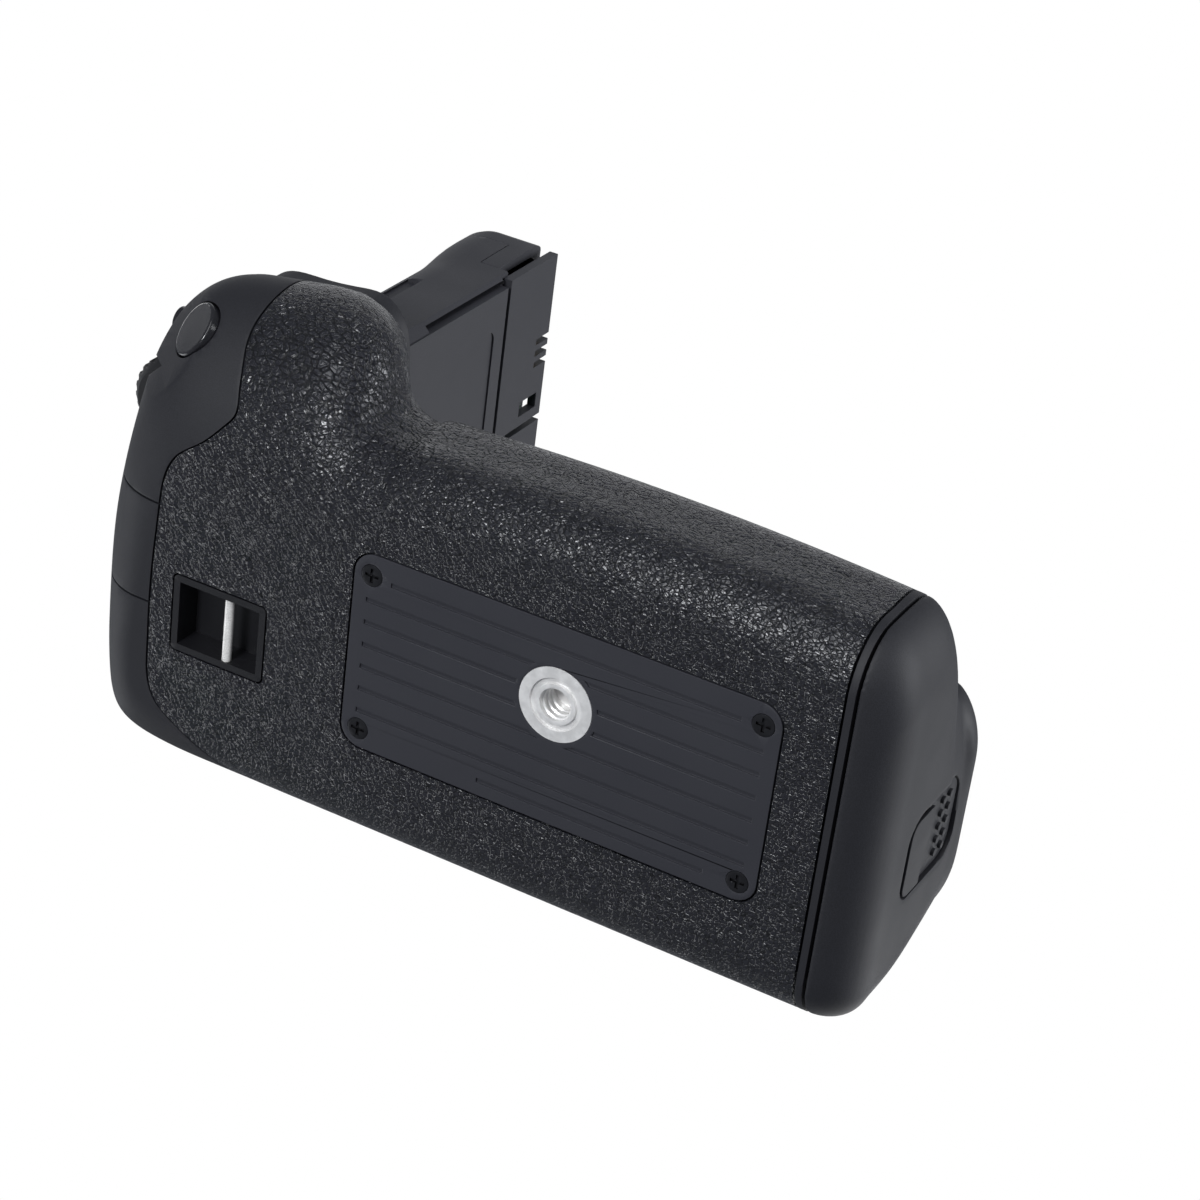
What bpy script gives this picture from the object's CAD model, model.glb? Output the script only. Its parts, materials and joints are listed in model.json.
import json
import logging
import math
from dataclasses import dataclass
from enum import Enum
from typing import Callable, Dict, Optional, Tuple

import bpy
from mathutils import Matrix, Vector

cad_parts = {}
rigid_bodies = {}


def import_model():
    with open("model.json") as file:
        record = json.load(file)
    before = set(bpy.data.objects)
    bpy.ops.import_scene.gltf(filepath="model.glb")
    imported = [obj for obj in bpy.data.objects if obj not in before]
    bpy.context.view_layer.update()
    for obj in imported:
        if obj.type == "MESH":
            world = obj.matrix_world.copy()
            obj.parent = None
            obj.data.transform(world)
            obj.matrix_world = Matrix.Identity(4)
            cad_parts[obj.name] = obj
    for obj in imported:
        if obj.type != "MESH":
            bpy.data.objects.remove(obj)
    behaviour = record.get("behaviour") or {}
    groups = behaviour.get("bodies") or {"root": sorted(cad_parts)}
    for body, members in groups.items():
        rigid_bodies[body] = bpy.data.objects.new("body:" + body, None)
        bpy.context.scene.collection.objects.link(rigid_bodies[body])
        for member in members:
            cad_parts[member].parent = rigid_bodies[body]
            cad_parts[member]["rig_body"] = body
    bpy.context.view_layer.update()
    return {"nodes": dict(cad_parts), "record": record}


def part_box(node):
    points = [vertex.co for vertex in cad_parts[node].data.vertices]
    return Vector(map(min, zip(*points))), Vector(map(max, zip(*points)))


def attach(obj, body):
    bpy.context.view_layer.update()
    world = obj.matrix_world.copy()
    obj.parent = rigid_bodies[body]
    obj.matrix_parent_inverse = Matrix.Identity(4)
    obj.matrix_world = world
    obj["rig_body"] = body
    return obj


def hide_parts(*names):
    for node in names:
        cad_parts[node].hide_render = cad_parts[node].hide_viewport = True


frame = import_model()

LOG = logging.getLogger("battery_grip")
MM = 0.001
Pair = Tuple[float, float]
Triple = Tuple[float, float, float]


class Slot(Enum):
    """The record's material slots that the pieces take their finish from."""

    GRIP_RUBBER = "grip_rubber"
    SMOOTH_SHELL = "smooth_shell"
    INNER_SHELL = "inner_shell"
    PLATE_BLACK = "plate_black"
    STEEL = "steel"
    BLACK_SCREW = "black_screw"
    BUTTON_BLACK = "button_black"
    DIAL_BLACK = "dial_black"
    TOWER_BLACK = "tower_black"
    PACK_GREY = "pack_grey"
    CONTACT_BRASS = "contact_brass"
    BOARD_GREEN = "board_green"
    PAD_RUBBER = "pad_rubber"


class ShaderSheet:
    """The node sheet of one material, with short calls that add and join nodes."""

    def __init__(self, name: str) -> None:
        """Starts a material with its shader and the object's own coordinates.

        Args:
            name: the new material's name.
        """
        self.material = bpy.data.materials.new(name)
        self.material.use_nodes = True
        self.tree = self.material.node_tree
        self.shader = self.tree.nodes["Principled BSDF"]
        self.place = self.add("ShaderNodeTexCoord").outputs["Object"]

    def add(self, kind: str) -> bpy.types.Node:
        """Adds a node of a kind to the sheet."""
        return self.tree.nodes.new(kind)

    def join(self, source: object, target: bpy.types.NodeSocket) -> None:
        """Links a socket to a target, or writes a plain value on it.

        Args:
            source: an output socket, a number or a colour.
            target: the input socket that takes it.
        """
        if isinstance(source, bpy.types.NodeSocket):
            self.tree.links.new(source, target)
        else:
            target.default_value = source

    def warp(self, scale: float, amount: float) -> bpy.types.NodeSocket:
        """Returns the coordinates, pushed about by a soft noise.

        Args:
            scale: how many waves the noise has to the metre.
            amount: how far a point is pushed, in metres.

        Returns:
            The socket of the pushed coordinates.
        """
        cloud = self.add("ShaderNodeTexNoise")
        self.join(self.place, cloud.inputs["Vector"])
        cloud.inputs["Scale"].default_value = scale
        cloud.inputs["Detail"].default_value = 1.0
        centred = self.add("ShaderNodeVectorMath")
        centred.operation = "SUBTRACT"
        self.join(cloud.outputs["Color"], centred.inputs[0])
        centred.inputs[1].default_value = (0.5, 0.5, 0.5)
        pushed = self.add("ShaderNodeVectorMath")
        pushed.operation = "MULTIPLY_ADD"
        self.join(centred.outputs[0], pushed.inputs[0])
        pushed.inputs[1].default_value = (amount, amount, amount)
        self.join(self.place, pushed.inputs[2])
        return pushed.outputs[0]

    def stretch(self, vector: bpy.types.NodeSocket, shares: Triple) -> bpy.types.NodeSocket:
        """Returns the coordinates scaled along each axis, so that a pattern is drawn out.

        Args:
            vector: the coordinates.
            shares: the scale along X, Y and Z; under 1 draws the pattern out.

        Returns:
            The socket of the scaled coordinates.
        """
        node = self.add("ShaderNodeMapping")
        self.join(vector, node.inputs["Vector"])
        node.inputs["Scale"].default_value = shares
        return node.outputs["Vector"]

    def noise(self, scale: float, detail: float = 2.0,
              vector: Optional[bpy.types.NodeSocket] = None) -> bpy.types.NodeSocket:
        """Returns a cloud pattern.

        Args:
            scale: how many waves it has to the metre.
            detail: how many finer layers lie on it.
            vector: other coordinates than the object's own.

        Returns:
            The socket of the pattern, from 0 to 1.
        """
        node = self.add("ShaderNodeTexNoise")
        self.join(vector or self.place, node.inputs["Vector"])
        node.inputs["Scale"].default_value = scale
        node.inputs["Detail"].default_value = detail
        return node.outputs["Fac"]

    def edges(self, scale: float,
              vector: Optional[bpy.types.NodeSocket] = None) -> bpy.types.NodeSocket:
        """Returns the distance to the nearest edge of a cell pattern.

        Args:
            scale: how many cells it has to the metre.
            vector: other coordinates than the object's own.

        Returns:
            The socket of the distance, in shares of a cell.
        """
        node = self.add("ShaderNodeTexVoronoi")
        node.feature = "DISTANCE_TO_EDGE"
        self.join(vector or self.place, node.inputs["Vector"])
        node.inputs["Scale"].default_value = scale
        return node.outputs["Distance"]

    def spread(self, value: object, taken: Pair, given: Pair) -> bpy.types.NodeSocket:
        """Returns a value spread from one range to another, with soft ends.

        Args:
            value: the value's socket.
            taken: the two ends of the range that the value is read in.
            given: what these ends become.

        Returns:
            The socket of the new value.
        """
        node = self.add("ShaderNodeMapRange")
        node.interpolation_type = "SMOOTHSTEP"
        self.join(value, node.inputs["Value"])
        for name, number in zip(("From Min", "From Max", "To Min", "To Max"), (*taken, *given)):
            node.inputs[name].default_value = number
        return node.outputs["Result"]

    def maths(self, operation: str, *values: object) -> bpy.types.NodeSocket:
        """Returns the result of a sum or product.

        Args:
            operation: the sum's name in Blender.
            values: its two or three sockets or numbers.

        Returns:
            The socket of the result.
        """
        node = self.add("ShaderNodeMath")
        node.operation = operation
        for value, target in zip(values, node.inputs):
            self.join(value, target)
        return node.outputs[0]

    def coordinate(self, axis: str) -> bpy.types.NodeSocket:
        """Returns one coordinate of the point.

        Args:
            axis: its letter.

        Returns:
            The socket of the coordinate, in metres.
        """
        node = self.add("ShaderNodeSeparateXYZ")
        self.join(self.place, node.inputs[0])
        return node.outputs[axis]

    def tint(self, factor: object, low: Triple, high: Triple) -> bpy.types.NodeSocket:
        """Returns a colour between two colours.

        Args:
            factor: the share of the second colour.
            low: the colour at 0.
            high: the colour at 1.

        Returns:
            The socket of the colour.
        """
        node = self.add("ShaderNodeMix")
        node.data_type = "RGBA"
        self.join(factor, node.inputs["Factor"])
        node.inputs["A"].default_value = (*low, 1.0)
        node.inputs["B"].default_value = (*high, 1.0)
        return [socket for socket in node.outputs if socket.type == "RGBA"][0]

    def bump(self, height: object, distance: float, strength: object = 1.0,
             under: Optional[bpy.types.NodeSocket] = None) -> bpy.types.NodeSocket:
        """Returns a normal that follows a height pattern.

        Args:
            height: the pattern's height socket.
            distance: how deep the pattern is, in metres.
            strength: how much of it shows.
            under: a normal that this one lies on.

        Returns:
            The socket of the new normal.
        """
        node = self.add("ShaderNodeBump")
        node.inputs["Distance"].default_value = distance
        self.join(strength, node.inputs["Strength"])
        self.join(height, node.inputs["Height"])
        if under is not None:
            self.join(under, node.inputs["Normal"])
        return node.outputs["Normal"]

    def paint(self, **sockets: object) -> bpy.types.Material:
        """Joins values and patterns to the shader's own sockets.

        Args:
            sockets: each socket's name, with _ for a space, and what it takes.

        Returns:
            The finished material.
        """
        for name, value in sockets.items():
            self.join(value, self.shader.inputs[name.replace("_", " ")])
        return self.material


@dataclass(frozen=True)
class LeatherGrain:
    """The glossy black rubber's leather grain, deep on the curves and fine on the flat bottom.

    Each share is a pair: how much of a pattern shows on the flat bottom, and on the curves.
    """

    pebble: float = 1.15 * MM
    dome_edge: float = 0.17
    pebble_share: Pair = (0.25, 1.0)
    wrinkles_to_pebble: float = 1.9
    wrinkle_edge: float = 0.13
    wrinkle_share: Pair = (0.8, 0.35)
    groove_depth: float = 0.20 * MM
    groove_share: Pair = (0.62, 1.0)
    fold: float = 2.4 * MM
    fold_push: float = 1.1 * MM
    wave: float = 1.9 * MM
    wave_depth: float = 0.20 * MM
    wave_share: Pair = (0.4, 1.0)
    ripple: float = 0.55 * MM
    ripple_depth: float = 0.09 * MM
    ripple_share: Pair = (1.0, 0.25)
    pores: float = 7000.0
    pore_depth: float = 0.014 * MM
    pore_strength: float = 0.7
    patch: float = 6 * MM
    patch_share: Pair = (0.86, 1.0)
    flat_height: float = 9.0 * MM
    pebble_draw: Triple = (0.72, 1.0, 1.12)
    ripple_draw: Triple = (0.5, 1.0, 1.12)
    gloss: Pair = (0.23, 0.27)
    skin: Triple = (0.0135, 0.0138, 0.0185)
    crease: Triple = (0.0010, 0.0010, 0.0016)

    def make(self) -> bpy.types.Material:
        """Builds the material.

        Returns:
            The material.
        """
        sheet = ShaderSheet("leather_grained_rubber")
        bent = sheet.warp(1.0 / self.fold, self.fold_push)
        drawn = sheet.stretch(bent, self.pebble_draw)
        domes = sheet.spread(sheet.edges(1.0 / self.pebble, drawn), (0.0, self.dome_edge), (0.0, 1.0))
        wrinkles = sheet.spread(sheet.edges(self.wrinkles_to_pebble / self.pebble, drawn),
                                (0.0, self.wrinkle_edge), (0.0, 1.0))
        patches = sheet.noise(1.0 / self.patch, 1.0)
        raised = sheet.spread(sheet.coordinate("Z"), (0.0, self.flat_height), (0.0, 1.0))

        def by_height(share: Pair) -> bpy.types.NodeSocket:
            """Returns a share that runs from the flat bottom's to the curves'."""
            return sheet.spread(raised, (0.0, 1.0), share)

        pebbles = sheet.maths("MULTIPLY", domes, by_height(self.pebble_share))
        grooves = sheet.maths("MULTIPLY_ADD", wrinkles, by_height(self.wrinkle_share), pebbles)
        ripples = sheet.spread(sheet.noise(1.0 / self.ripple, 1.0, sheet.stretch(bent, self.ripple_draw)),
                               (0.32, 0.68), (0.0, 1.0))
        normal = sheet.bump(sheet.noise(self.pores), self.pore_depth, self.pore_strength)
        normal = sheet.bump(ripples, self.ripple_depth, by_height(self.ripple_share), normal)
        normal = sheet.bump(sheet.noise(1.0 / self.wave, 1.0, bent), self.wave_depth,
                            by_height(self.wave_share), normal)
        cut = sheet.maths("MULTIPLY", by_height(self.groove_share),
                          sheet.spread(patches, (0.3, 0.7), self.patch_share))
        normal = sheet.bump(grooves, self.groove_depth, cut, normal)
        return sheet.paint(
            Base_Color=sheet.tint(sheet.spread(grooves, (0.0, 1.05), (0.0, 1.0)), self.crease, self.skin),
            Roughness=sheet.spread(patches, (0.25, 0.75), self.gloss),
            Normal=normal,
        )


@dataclass(frozen=True)
class MouldedShell:
    """A moulded black plastic with a fine speckled grain."""

    name: str
    colour: Triple
    shade: Triple
    roughness: float
    grain: float
    depth: float
    clouds: float = 60.0
    wear: float = 0.04
    strength: float = 0.8

    def make(self) -> bpy.types.Material:
        """Builds the material.

        Returns:
            The material.
        """
        sheet = ShaderSheet(self.name)
        speckle = sheet.noise(1.0 / self.grain, 3.0)
        cloud = sheet.noise(self.clouds)
        worn = (self.roughness - self.wear, self.roughness + self.wear)
        return sheet.paint(
            Base_Color=sheet.tint(sheet.spread(speckle, (0.35, 0.65), (0.0, 1.0)), self.shade, self.colour),
            Roughness=sheet.spread(cloud, (0.3, 0.7), worn),
            Normal=sheet.bump(speckle, self.depth, self.strength),
        )


@dataclass(frozen=True)
class BareMetal:
    """A metal with fine turning marks and soft stains."""

    name: str
    colour: Triple
    roughness: float
    metallic: float = 1.0
    mark: float = 0.12 * MM
    mark_depth: float = 0.006 * MM
    mark_strength: float = 0.5
    wear: float = 0.06
    stains: float = 420.0
    stain_share: float = 0.82

    def make(self) -> bpy.types.Material:
        """Builds the material.

        Returns:
            The material.
        """
        sheet = ShaderSheet(self.name)
        marks = sheet.noise(1.0 / self.mark)
        stain = sheet.noise(self.stains, 3.0)
        dark = tuple(self.stain_share * value for value in self.colour)
        worn = (self.roughness - self.wear, self.roughness + self.wear)
        return sheet.paint(
            Base_Color=sheet.tint(sheet.spread(stain, (0.35, 0.65), (0.0, 1.0)), dark, self.colour),
            Metallic=self.metallic,
            Roughness=sheet.spread(marks, (0.3, 0.7), worn),
            Normal=sheet.bump(marks, self.mark_depth, self.mark_strength),
        )


@dataclass(frozen=True)
class BoardLacquer:
    """A circuit board's green lacquer with faint tracks."""

    tracks: float = 700.0
    track_edge: Pair = (0.03, 0.08)
    lift: float = 0.03 * MM
    lift_strength: float = 0.5
    ground: Triple = (0.01, 0.07, 0.03)
    track: Triple = (0.03, 0.16, 0.07)
    roughness: float = 0.35

    def make(self) -> bpy.types.Material:
        """Builds the material.

        Returns:
            The material.
        """
        sheet = ShaderSheet("board_lacquer")
        lines = sheet.spread(sheet.edges(self.tracks), self.track_edge, (1.0, 0.0))
        return sheet.paint(
            Base_Color=sheet.tint(lines, self.ground, self.track),
            Roughness=self.roughness,
            Normal=sheet.bump(lines, self.lift, self.lift_strength),
        )


class FinishBook:
    """All the finishes, made once and handed out by slot."""

    shells: Dict[Slot, MouldedShell] = {
        Slot.SMOOTH_SHELL: MouldedShell(
            "satin_shell", (0.0130, 0.0132, 0.0180), (0.0072, 0.0074, 0.0102),
            roughness=0.62, grain=0.16 * MM, depth=0.024 * MM),
        Slot.INNER_SHELL: MouldedShell(
            "inner_plastic", (0.0060, 0.0062, 0.0085), (0.0040, 0.0040, 0.0056),
            roughness=0.50, grain=0.12 * MM, depth=0.012 * MM),
        Slot.PLATE_BLACK: MouldedShell(
            "plate_paint", (0.0290, 0.0294, 0.0370), (0.0230, 0.0234, 0.0300),
            roughness=0.50, grain=0.10 * MM, depth=0.012 * MM),
        Slot.DIAL_BLACK: MouldedShell(
            "dial_plastic", (0.012, 0.012, 0.013), (0.008, 0.008, 0.009),
            roughness=0.42, grain=0.10 * MM, depth=0.008 * MM),
        Slot.TOWER_BLACK: MouldedShell(
            "tower_plastic", (0.0270, 0.0272, 0.0340), (0.0190, 0.0192, 0.0245),
            roughness=0.58, grain=0.18 * MM, depth=0.022 * MM),
        Slot.PACK_GREY: MouldedShell(
            "pack_plastic", (0.05, 0.05, 0.053), (0.04, 0.04, 0.043),
            roughness=0.5, grain=0.15 * MM, depth=0.008 * MM),
        Slot.PAD_RUBBER: MouldedShell(
            "pad_rubber", (0.02, 0.02, 0.021), (0.014, 0.014, 0.015),
            roughness=0.7, grain=0.2 * MM, depth=0.02 * MM),
        Slot.BUTTON_BLACK: MouldedShell(
            "button_gloss", (0.016, 0.016, 0.019), (0.012, 0.012, 0.015),
            roughness=0.20, grain=0.4 * MM, depth=0.002 * MM),
    }

    def __init__(self) -> None:
        """Makes the material of every slot, and the two lighter metals of the bar and the bushing."""
        self.materials: Dict[Slot, bpy.types.Material] = {
            slot: shell.make() for slot, shell in self.shells.items()}
        self.materials[Slot.GRIP_RUBBER] = LeatherGrain().make()
        self.materials[Slot.STEEL] = BareMetal("bright_steel", (0.90, 0.89, 0.88), 0.33, 0.7).make()
        self.bar_finish = BareMetal("nickel_plated_bar", (0.95, 0.93, 0.90), 0.28, 0.2).make()
        self.bushing_finish = BareMetal("bushing_nickel", (0.93, 0.92, 0.91), 0.34, 0.35).make()
        self.materials[Slot.BLACK_SCREW] = BareMetal("blackened_steel", (0.06, 0.06, 0.065), 0.38).make()
        self.materials[Slot.CONTACT_BRASS] = BareMetal("contact_brass", (0.80, 0.58, 0.25), 0.25).make()
        self.materials[Slot.BOARD_GREEN] = BoardLacquer().make()

    def dress(self, piece: bpy.types.Object, slot: Slot) -> None:
        """Gives a piece the material of a slot.

        Args:
            piece: the piece or CAD node.
            slot: its slot in the record.
        """
        piece.data.materials.clear()
        piece.data.materials.append(self.materials[slot])


class Bench:
    """Editing calls that pieces share, done as by hand with the operators."""

    merge_reach: float = 0.002 * MM
    area_weight: int = 50

    @staticmethod
    def only(piece: bpy.types.Object) -> None:
        """Selects one object alone and makes it active.

        Args:
            piece: the object.
        """
        bpy.ops.object.select_all(action="DESELECT")
        piece.hide_viewport = False
        piece.select_set(True)
        bpy.context.view_layer.objects.active = piece

    @staticmethod
    def apply(piece: bpy.types.Object, kind: str, **settings: object) -> None:
        """Adds a modifier and applies it.

        Args:
            piece: the piece.
            kind: the modifier's type.
            settings: its settings by name.
        """
        Bench.only(piece)
        modifier = piece.modifiers.new(kind.title(), kind)
        for name, value in settings.items():
            setattr(modifier, name, value)
        bpy.ops.object.modifier_apply(modifier=modifier.name)

    @staticmethod
    def copy_node(node: str, name: str) -> bpy.types.Object:
        """Returns a merged, editable copy of a CAD node.

        Args:
            node: the CAD node.
            name: the copy's name.

        Returns:
            The copy.
        """
        source = frame["nodes"][node]
        piece = bpy.data.objects.new(name, source.data.copy())
        bpy.context.scene.collection.objects.link(piece)
        Bench.only(piece)
        bpy.ops.object.mode_set(mode="EDIT")
        bpy.ops.mesh.select_all(action="SELECT")
        bpy.ops.mesh.remove_doubles(threshold=Bench.merge_reach)
        bpy.ops.mesh.normals_make_consistent(inside=False)
        bpy.ops.mesh.customdata_custom_splitnormals_clear()
        bpy.ops.object.mode_set(mode="OBJECT")
        return piece

    @staticmethod
    def group(piece: bpy.types.Object, name: str, weigh: Callable[[Vector], float]) -> None:
        """Gives the vertices their weights in a new vertex group.

        Args:
            piece: the piece.
            name: the group's name.
            weigh: gives a point's weight; at 0 the point stays out.
        """
        group = piece.vertex_groups.new(name=name)
        for vertex in piece.data.vertices:
            weight = weigh(vertex.co)
            if weight > 0:
                group.add([vertex.index], weight, "REPLACE")

    @staticmethod
    def smooth(piece: bpy.types.Object, angle: float) -> None:
        """Shades a piece smooth up to an angle in degrees."""
        Bench.only(piece)
        bpy.ops.object.shade_smooth_by_angle(angle=math.radians(angle))

    @staticmethod
    def round_edges(piece: bpy.types.Object, width: float, angle: float) -> None:
        """Breaks a piece's edges and keeps its flat faces flat to the eye.

        Args:
            piece: the piece.
            width: how wide the broken edge is, in metres.
            angle: the angle in degrees from which an edge counts as one.
        """
        Bench.apply(piece, "BEVEL", width=width, segments=2, limit_method="ANGLE",
                    angle_limit=math.radians(angle))
        Bench.smooth(piece, angle)
        Bench.apply(piece, "WEIGHTED_NORMAL", mode="FACE_AREA", weight=Bench.area_weight,
                    keep_sharp=True)

    @staticmethod
    def settle(piece: bpy.types.Object, node: str) -> None:
        """Makes a piece stand for a node and ride on its body.

        Args:
            piece: the piece.
            node: the CAD node that it replaces.
        """
        body = frame["nodes"][node]["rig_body"]
        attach(piece, body)
        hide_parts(node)
        Bench.report(piece)

    @staticmethod
    def report(piece: bpy.types.Object) -> None:
        """Logs a finished piece."""
        LOG.info("%s: %d faces", piece.name, len(piece.data.polygons))


@dataclass
class GripSkin:
    """The rubber and the smooth covers that close the body."""

    leather_edge: float = 0.28 * MM
    leather_angle: float = 40
    cover_edge: float = 0.24 * MM
    cover_angle: float = 42
    rim_voxel: float = 0.4 * MM
    rim_angle: float = 40
    rim_start_front: float = 29.0 * MM
    rim_start_rear: float = 34.1 * MM
    rim_fade_low: float = 0.8 * MM
    rim_top: float = 39.3 * MM
    rim_fade_high: float = 1.5 * MM
    voxel_rounds: int = 2
    rim_rounds: int = 70

    def build(self, book: FinishBook) -> None:
        """Builds the leather and the covers.

        Args:
            book: the finishes.
        """
        self.leather(book)
        for node, name in (("shutter_cover", "shutter_end_cover"), ("middle_cover", "middle_end_cover"),
                           ("corner_cover", "rear_corner_cover"), ("rear_cover", "rear_face_cover"),
                           ("end_band", "magazine_end_band"), ("top_housing", "top_deck_housing"),
                           ("magazine_cap", "magazine_end_cap")):
            self.cover(book, node, name)

    def leather(self, book: FinishBook) -> None:
        """Builds the leather-grained rubber as one soft-edged skin.

        Args:
            book: the finishes.
        """
        piece = Bench.copy_node("rubber_grip", "leather_skin")
        Bench.round_edges(piece, self.leather_edge, self.leather_angle)
        book.dress(piece, Slot.GRIP_RUBBER)
        Bench.settle(piece, "rubber_grip")

    def cover(self, book: FinishBook, node: str, name: str) -> None:
        """Builds a smooth cover with softly broken edges.

        Args:
            book: the finishes.
            node: the CAD node that it stands for.
            name: the new piece's name.
        """
        piece = Bench.copy_node(node, name)
        if node == "magazine_cap":
            self.blend_rim(piece)
            Bench.smooth(piece, self.rim_angle)
        else:
            Bench.round_edges(piece, self.cover_edge, self.cover_angle)
        book.dress(piece, Slot.SMOOTH_SHELL)
        Bench.settle(piece, node)

    def blend_rim(self, piece: bpy.types.Object) -> None:
        """Lets the cap's face run softly into its rim, beside and before the lever's window.

        Args:
            piece: the cap.
        """
        Bench.apply(piece, "REMESH", mode="VOXEL", voxel_size=self.rim_voxel, use_smooth_shade=True)
        Bench.apply(piece, "SMOOTH", factor=0.5, iterations=self.voxel_rounds)

        def weigh(point: Vector) -> float:
            """Returns how much a point takes part in the blend."""
            start = self.rim_start_front if point.y < 0 else self.rim_start_rear
            low = min(1.0, max(0.0, (point.z - start) / self.rim_fade_low))
            high = min(1.0, max(0.0, (self.rim_top - point.z) / self.rim_fade_high))
            return low * high

        Bench.group(piece, "rim_blend", weigh)
        Bench.apply(piece, "SMOOTH", factor=0.5, iterations=self.rim_rounds, vertex_group="rim_blend")


@dataclass(frozen=True)
class HardPart:
    """A small hard piece that keeps its CAD form and gets broken edges."""

    node: str
    name: str
    edge: float = 0.08 * MM
    angle: float = 35.0


@dataclass
class Fittings:
    """The small hard pieces: plate, screws, buttons, dial, wheel, pins and the battery tower."""

    parts: Tuple[HardPart, ...] = (
        HardPart("bottom_plate", "grooved_bottom_plate", edge=0.10 * MM),
        HardPart("plate_screws", "plate_cross_screws", edge=0.10 * MM),
        HardPart("tripod_bushing", "tripod_socket_bushing", edge=0.12 * MM),
        HardPart("strap_lug", "strap_well", edge=0.10 * MM),
        HardPart("strap_bar", "strap_rod"),
        HardPart("shutter_button", "release_button_cap", edge=0.30 * MM, angle=50.0),
        HardPart("main_dial", "knurled_dial", edge=0.12 * MM),
        HardPart("area_button", "side_button", edge=0.12 * MM),
        HardPart("release_lever", "magazine_release_lever", edge=0.10 * MM),
        HardPart("lock_button", "rear_lock_button"),
        HardPart("point_button", "rear_point_button"),
        HardPart("focus_button", "rear_focus_button"),
        HardPart("power_switch", "rear_power_switch"),
        HardPart("thumbwheel", "notched_thumbwheel"),
        HardPart("top_pad", "deck_pad", edge=0.15 * MM),
        HardPart("locating_pins", "deck_pins"),
        HardPart("housing_screws", "deck_screws"),
        HardPart("tower_shell", "tower_body", edge=0.22 * MM),
        HardPart("tower_tip_cap", "tower_end_cap", edge=0.22 * MM),
        HardPart("tower_label_plate", "tower_blank_panel"),
        HardPart("tower_contact_plate", "tower_slotted_plate"),
    )

    def build(self, book: FinishBook, slots: Dict[str, Slot]) -> None:
        """Builds every fitting.

        Args:
            book: the finishes.
            slots: each CAD node's slot.
        """
        own_finish = {"strap_bar": book.bar_finish, "tripod_bushing": book.bushing_finish}
        for part in self.parts:
            piece = Bench.copy_node(part.node, part.name)
            Bench.round_edges(piece, part.edge, part.angle)
            book.dress(piece, slots[part.node])
            if part.node in own_finish:
                piece.data.materials[0] = own_finish[part.node]
            Bench.settle(piece, part.node)


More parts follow.
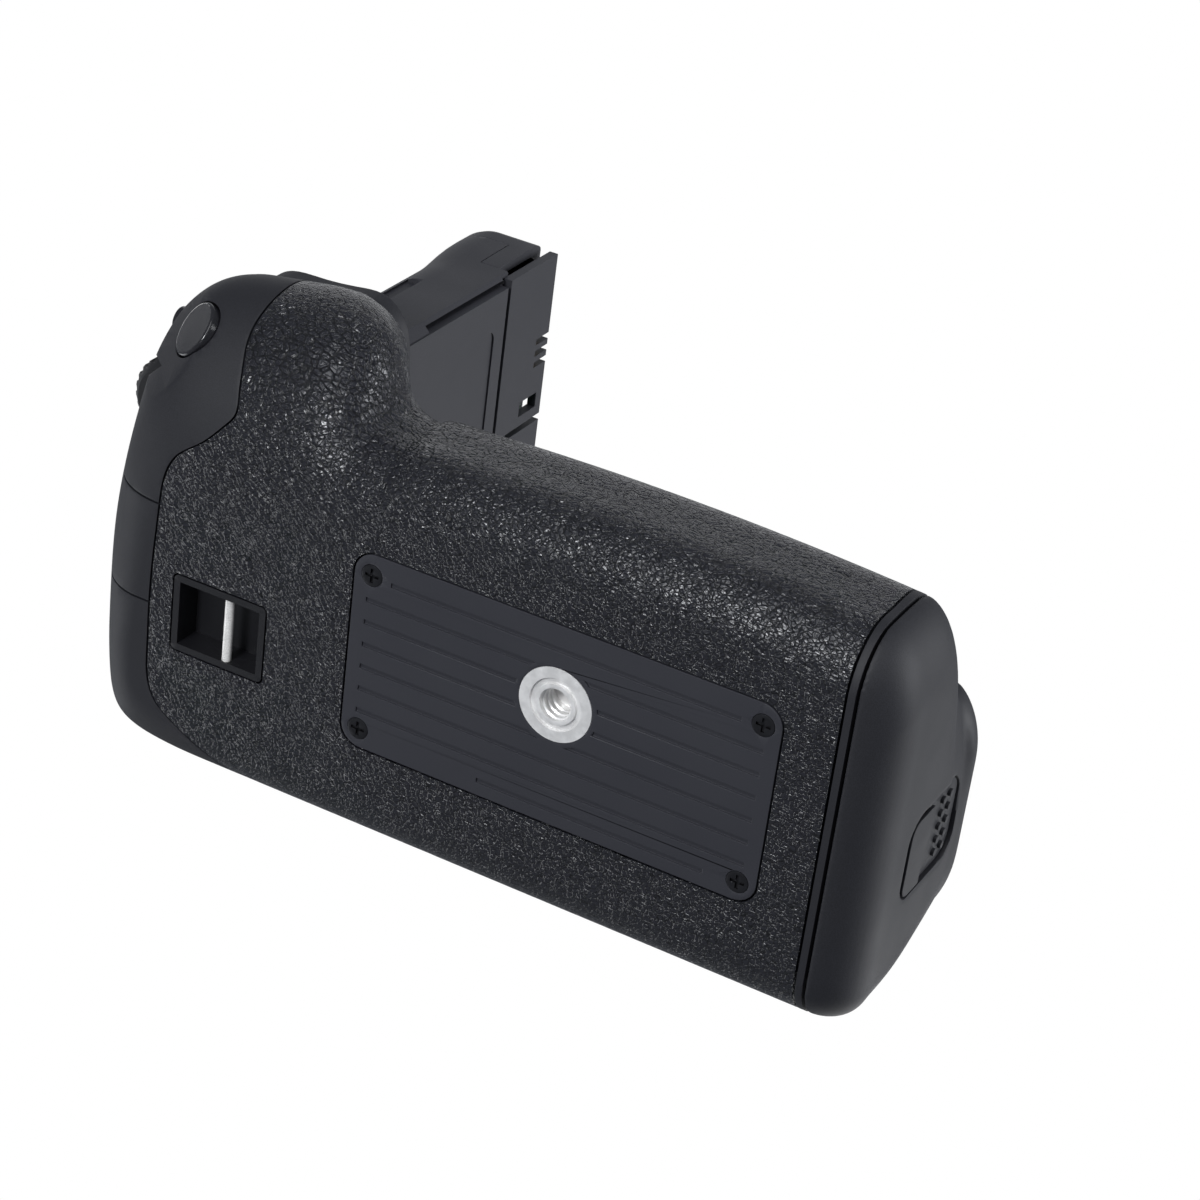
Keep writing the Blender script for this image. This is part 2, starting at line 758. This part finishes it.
@dataclass
class Threads:
    """The threads of the tripod socket and of the camera screw, which only the looks have."""

    pitch: float = 1.27 * MM
    steps: int = 40
    shading_angle: float = 60
    socket_radius: float = 2.6 * MM
    socket_sink: float = 0.06 * MM
    socket_tooth: float = 0.34 * MM
    socket_start: float = 0.6 * MM
    socket_turns: int = 3
    screw_core: float = 2.72 * MM
    screw_crest: float = 3.12 * MM
    screw_tooth: float = 0.42 * MM
    screw_start: float = 0.75 * MM
    screw_turns: int = 2
    screw_edge: float = 0.06 * MM
    screw_angle: float = 35

    def build(self, book: FinishBook) -> None:
        """Builds both threads, and the screw that carries one."""
        self.socket_thread(book)
        self.camera_screw(book)

    def helix(self, name: str, start: Triple, radius: float, tooth: float,
              turns: int) -> bpy.types.Object:
        """Returns a closed helical ridge round an upright axis.

        Args:
            name: the new piece's name.
            start: the axis's place, and the height where the ridge starts.
            radius: the radius of the ridge's middle.
            tooth: half the ridge's thickness.
            turns: how many turns it makes.

        Returns:
            The new piece.
        """
        x, y, z = start
        bpy.ops.object.select_all(action="DESELECT")
        bpy.ops.mesh.primitive_circle_add(vertices=6, radius=tooth, location=(0, 0, 0))
        piece = bpy.context.object
        piece.name = piece.data.name = name
        piece.data.transform(Matrix.Translation((radius, 0, z)) @ Matrix.Rotation(math.radians(90), 4, "X"))
        Bench.apply(piece, "SCREW", screw_offset=self.pitch, iterations=turns, steps=self.steps,
                    render_steps=self.steps)
        bpy.ops.object.mode_set(mode="EDIT")
        bpy.ops.mesh.select_all(action="DESELECT")
        bpy.ops.mesh.select_non_manifold()
        bpy.ops.mesh.fill_holes(sides=0)
        bpy.ops.mesh.select_all(action="SELECT")
        bpy.ops.mesh.normals_make_consistent(inside=False)
        bpy.ops.object.mode_set(mode="OBJECT")
        piece.data.transform(Matrix.Translation((x, y, 0)))
        Bench.smooth(piece, self.shading_angle)
        return piece

    def socket_thread(self, book: FinishBook) -> None:
        """Lays a thread's ridge on the tripod socket's wall.

        Args:
            book: the finishes.
        """
        piece = self.helix("socket_thread", (0.0, 0.0, self.socket_start),
                           self.socket_radius + self.socket_sink, self.socket_tooth, self.socket_turns)
        book.dress(piece, Slot.STEEL)
        piece.data.materials[0] = book.bushing_finish
        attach(piece, frame["nodes"]["tripod_bushing"]["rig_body"])
        Bench.report(piece)

    def camera_screw(self, book: FinishBook) -> None:
        """Builds the camera screw with a thinner core and its thread.

        Args:
            book: the finishes.
        """
        low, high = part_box("attachment_screw")
        axis_x, axis_y = (low.x + high.x) / 2, (low.y + high.y) / 2
        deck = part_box("top_housing")[1].z
        piece = Bench.copy_node("attachment_screw", "captive_camera_screw")
        for vertex in piece.data.vertices:
            reach = math.hypot(vertex.co.x - axis_x, vertex.co.y - axis_y)
            if vertex.co.z > deck and reach > self.screw_core:
                share = self.screw_core / reach
                vertex.co.x = axis_x + (vertex.co.x - axis_x) * share
                vertex.co.y = axis_y + (vertex.co.y - axis_y) * share
        Bench.round_edges(piece, self.screw_edge, self.screw_angle)
        book.dress(piece, Slot.STEEL)
        Bench.settle(piece, "attachment_screw")
        ridge = self.helix("camera_screw_thread", (axis_x, axis_y, deck + self.screw_start),
                           self.screw_crest - self.screw_tooth, self.screw_tooth, self.screw_turns)
        book.dress(ridge, Slot.STEEL)
        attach(ridge, frame["nodes"]["attachment_screw"]["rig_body"])
        Bench.report(ridge)


@dataclass
class LeverWindow:
    """The step in the lever's window, and the thin lip on it that the lever slides under."""

    front: float = 7.3 * MM
    rear: float = 20.2 * MM
    bottom: float = 15.1 * MM
    corner: float = 3.2 * MM
    face_gap: float = 0.1 * MM
    lever_travel: float = 3.0 * MM
    clearance: float = 0.3 * MM
    step_back: float = 2.9 * MM
    step_face: float = 0.4 * MM
    lip_back: float = 0.55 * MM
    lip_cover: float = 0.2 * MM
    jog_reach: float = 0.6 * MM
    jog_drop: float = 1.3 * MM
    side_reach: float = 0.1 * MM
    corner_share: float = 0.75
    slab_edge: float = 0.12 * MM
    slab_angle: float = 40

    def build(self, book: FinishBook) -> None:
        """Builds the step and the lip.

        Args:
            book: the finishes.
        """
        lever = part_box("release_lever")[0].z
        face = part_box("magazine_cap")[1].x - self.face_gap
        self.slab(book, "lever_window_step", (face - self.step_back, self.front, self.bottom),
                  (face - self.step_face, self.rear, lever - self.lever_travel - self.clearance))
        lip = self.slab(book, "lever_window_lip", (face - self.lip_back, self.front, self.bottom),
                        (face, self.rear, lever + self.lip_cover))
        middle = (self.front + self.rear) / 2
        for vertex in lip.data.vertices:
            if vertex.co.z > lever - self.jog_reach and vertex.co.y > middle:
                vertex.co.z -= self.jog_drop

    def slab(self, book: FinishBook, name: str, low: Triple, high: Triple) -> bpy.types.Object:
        """Returns an upright slab in the window, with its two low corners rounded.

        Args:
            book: the finishes.
            name: the new piece's name.
            low: its lowest corner.
            high: its highest corner.

        Returns:
            The new piece.
        """
        start, end = Vector(low), Vector(high)
        bpy.ops.object.select_all(action="DESELECT")
        bpy.ops.mesh.primitive_grid_add(x_subdivisions=1, y_subdivisions=5, size=1.0)
        piece = bpy.context.object
        piece.name = piece.data.name = name
        span = end - start
        piece.data.transform(Matrix.Translation((start + end) / 2) @ Matrix.Rotation(math.radians(90), 4, "Y")
                             @ Matrix.Diagonal((span.z, span.y, 1.0, 1.0)))
        edges = (start.y + self.side_reach, end.y - self.side_reach)

        def weigh(point: Vector) -> float:
            """Returns 1 for the two low corners of the slab, and 0 elsewhere."""
            low_half = point.z < (start.z + end.z) / 2
            return 1.0 if low_half and not edges[0] < point.y < edges[1] else 0.0

        Bench.group(piece, "low_corners", weigh)
        Bench.apply(piece, "BEVEL", affect="VERTICES", width=self.corner * self.corner_share, segments=6,
                    limit_method="VGROUP", vertex_group="low_corners")
        Bench.apply(piece, "SOLIDIFY", thickness=span.x, offset=0.0)
        Bench.round_edges(piece, self.slab_edge, self.slab_angle)
        book.dress(piece, Slot.SMOOTH_SHELL)
        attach(piece, frame["nodes"]["magazine_cap"]["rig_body"])
        Bench.report(piece)
        return piece


@dataclass(frozen=True)
class Lamp:
    """A soft area lamp, placed by its direction as the photograph's camera sees it."""

    name: str
    right: float
    up: float
    near: float
    power: float
    size: float = 0.5
    distance: float = 0.9
    colour: Triple = (1.0, 1.0, 1.0)


@dataclass
class Studio:
    """The camera, the lamps, the pale floor and the white surroundings."""

    camera_place: Triple = (0.167797, -0.231576, -0.347831)
    camera_right: Triple = (0.86971289, -0.11768955, 0.47932104)
    camera_down: Triple = (0.3251835, 0.86720596, -0.37710676)
    camera_ahead: Triple = (-0.37128854, 0.4838419, 0.79249091)
    lens: float = 93.94
    sensor: float = 36.0
    aim: Triple = (-0.015, 0.0, 0.025)
    floor_size: float = 6.0
    floor_drop: float = 0.6 * MM
    floor_evenness: float = 0.6
    floor_paint: Triple = (0.86, 0.86, 0.86)
    floor_glow: Triple = (0.95, 0.95, 0.95)
    floor_roughness: float = 0.8
    ambient: float = 0.22
    ambient_tint: Triple = (0.86, 0.91, 1.0)
    lamps: Tuple[Lamp, ...] = (
        Lamp("key_softbox", -0.45, 0.14, 0.88, power=4.8, size=0.18, colour=(0.96, 0.98, 1.0)),
        Lamp("front_softbox", -0.10, 0.55, 0.83, power=2.6, colour=(0.96, 0.98, 1.0)),
        Lamp("side_softbox", 0.95, 0.02, 0.10, power=6.8, colour=(0.95, 0.97, 1.0)),
        Lamp("left_softbox", -0.85, -0.25, -0.45, power=1.6, colour=(0.95, 0.97, 1.0)),
        Lamp("rim_softbox", -0.55, 0.42, -0.72, power=0.6, size=0.25),
        Lamp("deck_softbox", 0.1, 0.6, -0.8, power=1.6, size=0.9, distance=1.2),
        Lamp("rear_softbox", 0.40, -0.62, -0.68, power=5.0, size=0.9, distance=1.2),
    )

    def build(self) -> None:
        """Sets up everything that isn't part of the object."""
        self.camera()
        self.surroundings()
        self.floor()
        for lamp in self.lamps:
            self.light(lamp)

    def camera(self) -> None:
        """Places the camera where the photograph was taken from."""
        data = bpy.data.cameras.new("photo_camera")
        data.lens, data.sensor_width = self.lens, self.sensor
        camera = bpy.data.objects.new("photo_camera", data)
        bpy.context.scene.collection.objects.link(camera)
        columns = [Vector(self.camera_right), -Vector(self.camera_down), -Vector(self.camera_ahead)]
        turn = Matrix(columns).transposed().to_4x4()
        camera.matrix_world = Matrix.Translation(Vector(self.camera_place)) @ turn
        bpy.context.scene.camera = camera
        bpy.context.scene.view_settings.view_transform = "Standard"

    def surroundings(self) -> None:
        """Makes the world white for the camera and dim for the object."""
        world = bpy.data.worlds.new("studio")
        bpy.context.scene.world = world
        world.use_nodes = True
        tree = world.node_tree
        tree.nodes.clear()
        output = tree.nodes.new("ShaderNodeOutputWorld")
        seen, felt = (tree.nodes.new("ShaderNodeBackground") for _ in range(2))
        felt.inputs["Strength"].default_value = self.ambient
        seen.inputs["Color"].default_value = (1.0, 1.0, 1.0, 1.0)
        felt.inputs["Color"].default_value = (*self.ambient_tint, 1.0)
        path, mix = tree.nodes.new("ShaderNodeLightPath"), tree.nodes.new("ShaderNodeMixShader")
        either = tree.nodes.new("ShaderNodeMath")
        either.operation = "MAXIMUM"
        for source, target in ((path.outputs["Is Camera Ray"], either.inputs[0]),
                               (path.outputs["Is Transmission Ray"], either.inputs[1]),
                               (either.outputs[0], mix.inputs[0]),
                               (felt.outputs[0], mix.inputs[1]),
                               (seen.outputs[0], mix.inputs[2]),
                               (mix.outputs[0], output.inputs[0])):
            tree.links.new(source, target)

    def floor(self) -> None:
        """Lays the pale floor, which only the camera sees, and from above only."""
        bpy.ops.mesh.primitive_plane_add(size=self.floor_size, location=(0, 0, -self.floor_drop))
        floor = bpy.context.object
        floor.name = "studio_floor"
        material = bpy.data.materials.new("pale_floor")
        material.use_nodes = True
        tree = material.node_tree
        shader, output = tree.nodes["Principled BSDF"], tree.nodes["Material Output"]
        shader.inputs["Base Color"].default_value = (*self.floor_paint, 1.0)
        shader.inputs["Roughness"].default_value = self.floor_roughness
        clear, mix = tree.nodes.new("ShaderNodeBsdfTransparent"), tree.nodes.new("ShaderNodeMixShader")
        path, side = tree.nodes.new("ShaderNodeLightPath"), tree.nodes.new("ShaderNodeNewGeometry")
        glow, even = tree.nodes.new("ShaderNodeEmission"), tree.nodes.new("ShaderNodeMixShader")
        glow.inputs["Color"].default_value = (*self.floor_glow, 1.0)
        even.inputs[0].default_value = self.floor_evenness
        shown = tree.nodes.new("ShaderNodeMath")
        shown.operation = "SUBTRACT"
        shown.use_clamp = True
        for source, target in ((path.outputs["Is Camera Ray"], shown.inputs[0]),
                               (side.outputs["Backfacing"], shown.inputs[1]),
                               (shown.outputs[0], mix.inputs[0]),
                               (clear.outputs[0], mix.inputs[1]),
                               (shader.outputs[0], even.inputs[1]),
                               (glow.outputs[0], even.inputs[2]),
                               (even.outputs[0], mix.inputs[2]),
                               (mix.outputs[0], output.inputs["Surface"])):
            tree.links.new(source, target)
        floor.data.materials.append(material)

    def light(self, lamp: Lamp) -> None:
        """Hangs a soft lamp that faces the object.

        Args:
            lamp: the lamp's place, size and power.
        """
        direction = (Vector(self.camera_right) * lamp.right - Vector(self.camera_down) * lamp.up
                     - Vector(self.camera_ahead) * lamp.near).normalized()
        data = bpy.data.lights.new(lamp.name, "AREA")
        data.shape, data.size = "SQUARE", lamp.size
        data.energy, data.color = lamp.power, lamp.colour
        light = bpy.data.objects.new(lamp.name, data)
        bpy.context.scene.collection.objects.link(light)
        light.location = Vector(self.aim) + direction * lamp.distance
        light.rotation_euler = direction.to_track_quat("Z", "Y").to_euler()


def slot_map() -> Dict[str, Slot]:
    """Returns each node's material slot from the record."""
    return {entry["node"]: Slot(entry["material_slot"]) for entry in frame["record"]["subparts"]}


def dress_rest(book: FinishBook, slots: Dict[str, Slot]) -> None:
    """Gives every CAD node that stays its slot's material.

    Args:
        book: the finishes.
        slots: each CAD node's slot.
    """
    for node, piece in frame["nodes"].items():
        if not piece.hide_render:
            book.dress(piece, slots[node])
            Bench.report(piece)


def main() -> None:
    """Builds the studio and the pieces in order."""
    logging.basicConfig(level=logging.INFO, format="%(message)s")
    Studio().build()
    book, slots = FinishBook(), slot_map()
    GripSkin().build(book)
    Fittings().build(book, slots)
    Threads().build(book)
    LeverWindow().build(book)
    dress_rest(book, slots)


if __name__ == "__main__":
    main()
